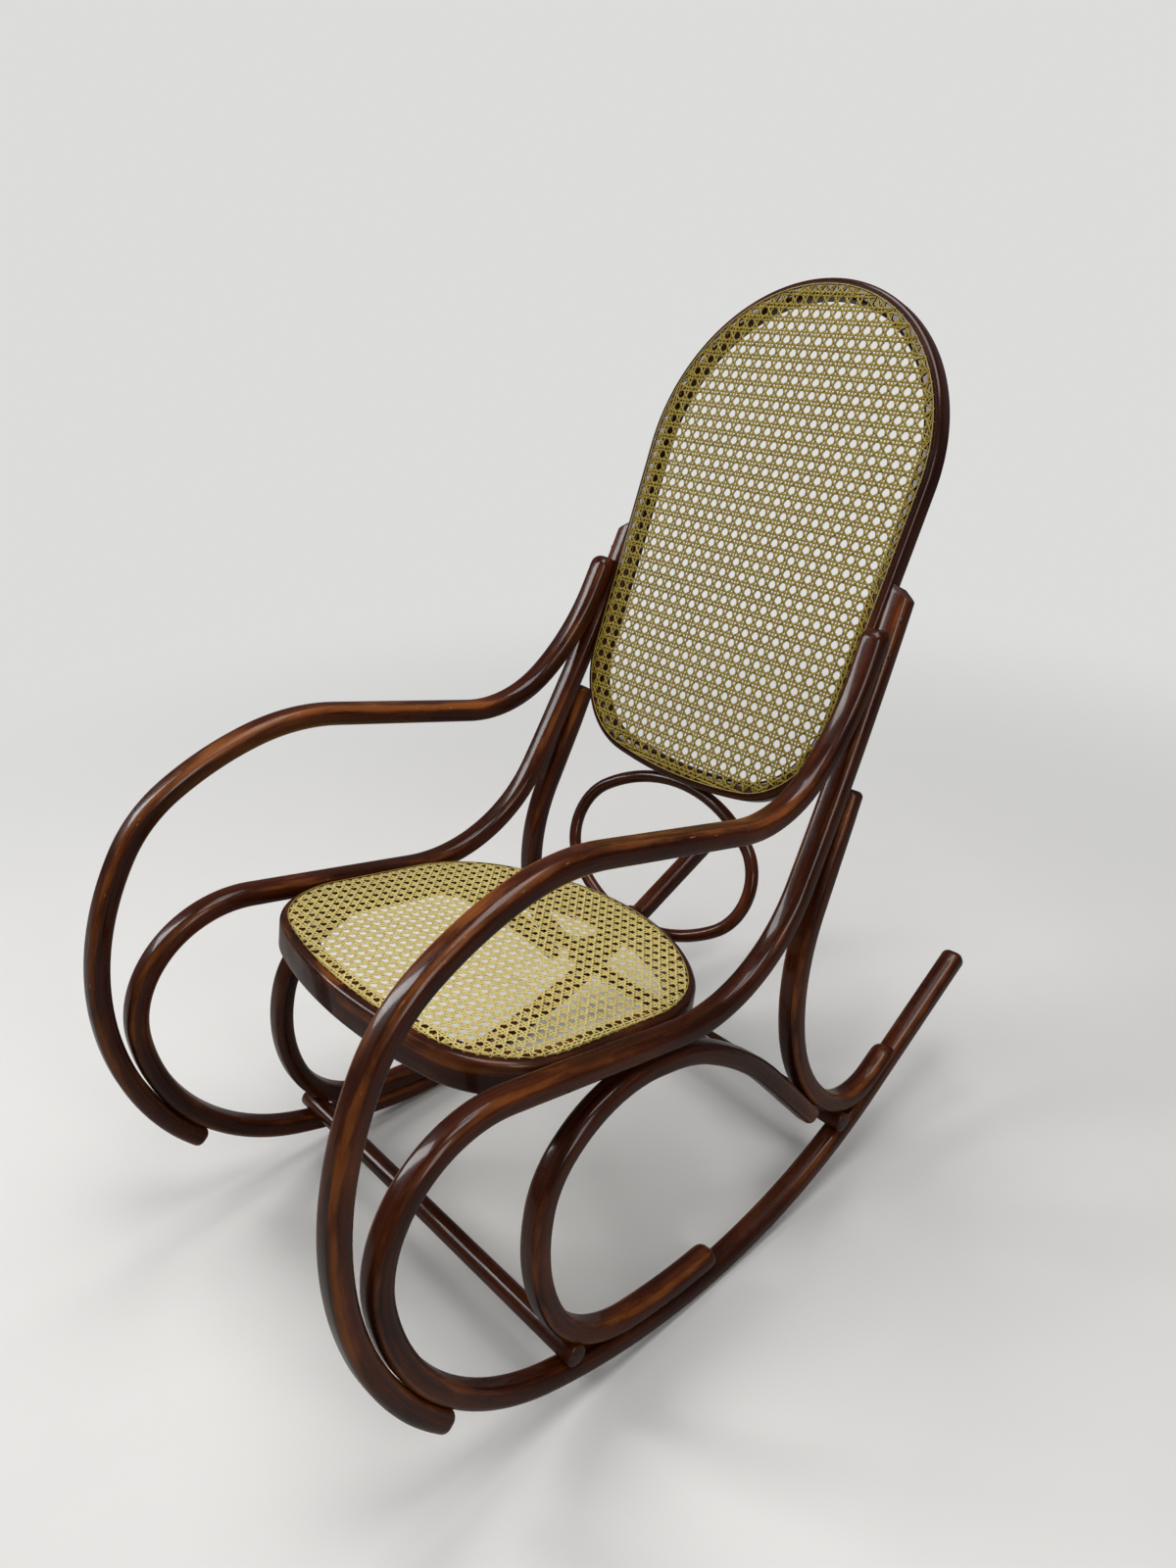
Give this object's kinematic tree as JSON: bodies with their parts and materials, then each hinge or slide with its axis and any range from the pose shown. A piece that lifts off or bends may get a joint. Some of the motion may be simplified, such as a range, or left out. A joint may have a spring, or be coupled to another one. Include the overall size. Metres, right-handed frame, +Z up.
{
  "type": "bentwood rocking chair",
  "caption": "Bentwood rocking chair with curled side frames, scrolling arms, a woven cane seat and a tall arched cane back.",
  "frame": {"origin": "middle of the floor under the chair: centre of the bounding box in X and Y, floor level in Z", "axes": "+X to the sitter's left, -Y to the front, +Z up; the chair is symmetric about X = 0"},
  "size_m": [0.5366, 0.9518, 1.0145],
  "materials": {
    "bent_wood": "dark red-brown stain under gloss varnish",
    "cane": "woven natural cane",
    "binder_cane": "flat strip of natural cane",
    "screw_steel": "dull, stained over"
  },
  "bodies": {
    "root": {"arm_foot_screws": "screw_steel", "arm_left": "bent_wood", "arm_right": "bent_wood", "arm_top_screws": "screw_steel", "back_binder": "binder_cane", "back_cane": "cane", "back_frame": "bent_wood", "back_frame_bolts": "screw_steel", "back_loop": "bent_wood", "back_loop_screws": "screw_steel", "front_leg_loop_left": "bent_wood", "front_leg_loop_right": "bent_wood", "front_stretcher": "bent_wood", "front_stretcher_bolts": "screw_steel", "leg_foot_screws": "screw_steel", "loop_foot_screws": "screw_steel", "loop_top_screws": "screw_steel", "rear_leg_left": "bent_wood", "rear_leg_right": "bent_wood", "rear_leg_top_screws": "screw_steel", "rear_stretcher": "bent_wood", "rear_stretcher_bolts": "screw_steel", "seat_binder": "binder_cane", "seat_cane": "cane", "seat_frame": "bent_wood", "seat_rail_screws": "screw_steel", "side_bow_left": "bent_wood", "side_bow_right": "bent_wood"}
  },
  "joints": []
}
